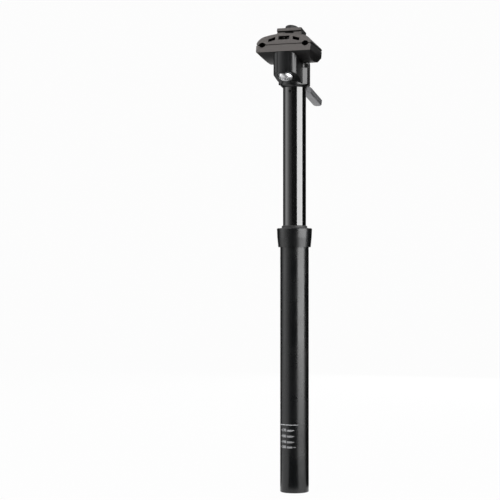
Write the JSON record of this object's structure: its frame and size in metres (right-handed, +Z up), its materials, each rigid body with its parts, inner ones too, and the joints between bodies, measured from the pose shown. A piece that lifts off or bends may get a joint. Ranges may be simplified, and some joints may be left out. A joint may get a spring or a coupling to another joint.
{
  "type": "height-adjustable bicycle seatpost",
  "caption": "Telescoping bicycle seatpost with a collar and wiper, a release lever under the saddle and a tilting rail clamp, shown fully extended.",
  "frame": {"origin": "on the post's axis at the underside of the collar, where the seat tube's top edge stops", "axes": "+Z up along the post, +Y towards the front of the bicycle, +X to the rider's right"},
  "size_m": [0.055, 0.0916, 0.4417],
  "materials": {
    "tube_black": "satin anodised",
    "stanchion_black": "polished anodised",
    "head_black": "satin anodised",
    "clamp_grey": "satin anodised",
    "lever_grey": "satin anodised",
    "bolt_bright": "polished",
    "steel": "ground",
    "raw_aluminium": "machined",
    "seal_rubber": "matt",
    "bushing_plastic": "matt",
    "key_brass": "machined"
  },
  "bodies": {
    "outer": {"outer_tube": "tube_black", "seal_collar": "tube_black", "wiper_seal": "seal_rubber", "upper_bushing": "bushing_plastic", "base_plug": "raw_aluminium", "base_retaining_ring": "steel", "base_bolt": "steel", "gas_cylinder": "raw_aluminium", "cylinder_end_cap": "raw_aluminium", "cylinder_gland": "raw_aluminium", "rod_seal": "seal_rubber", "top_out_bumper": "seal_rubber"},
    "post": {"stanchion": "stanchion_black", "lower_bushing": "bushing_plastic", "anti_rotation_keys": "key_brass", "rod_holder": "raw_aluminium", "holder_set_screw": "steel", "rod_nut": "steel", "piston_rod": "steel", "piston": "raw_aluminium", "piston_ring": "bushing_plastic", "seatpost_head": "head_black", "lever_pivot_pin": "steel", "clamp_bolt": "bolt_bright", "bolt_washer": "steel"},
    "pin": {"release_pin": "steel"},
    "lever": {"lever": "lever_grey"},
    "cradle": {"lower_cradle": "clamp_grey"},
    "clamp": {"upper_clamp": "clamp_grey"},
    "nut": {"clamp_nut": "clamp_grey"}
  },
  "joints": [
    {"name": "height_travel", "type": "slide", "parent": "outer", "child": "post", "axis": [0, 0, -1], "range_m": [0, 0.125], "stiffness_N_per_m": 240, "springref_m": -0.5},
    {"name": "lever_pull", "type": "hinge", "parent": "post", "child": "lever", "pos_m": [0, 0.0136, 0.158], "axis": [1, 0, 0], "range_deg": [0, 12], "stiffness_Nm_per_rad": 0.5, "springref_deg": -17.19},
    {"name": "release", "type": "slide", "parent": "post", "child": "pin", "axis": [0, 0, -1], "range_m": [0, 0.0031]},
    {"name": "clamp_tilt", "type": "hinge", "parent": "post", "child": "cradle", "pos_m": [0, -0.0033, 0.215], "axis": [1, 0, 0], "range_deg": [-5, 10]},
    {"name": "clamp_open", "type": "slide", "parent": "cradle", "child": "clamp", "axis": [0, 0.1822, 0.9833], "range_m": [0, 0.0065]},
    {"name": "nut_lift", "type": "slide", "parent": "post", "child": "nut", "axis": [0, 0.3173, 0.9483], "range_m": [0, 0.0082]}
  ],
  "couplings": [
    {"joint": "release", "follows": "lever_pull", "m_per_rad": 0.0145},
    {"joint": "nut_lift", "follows": "clamp_open", "ratio": 1.25}
  ]
}
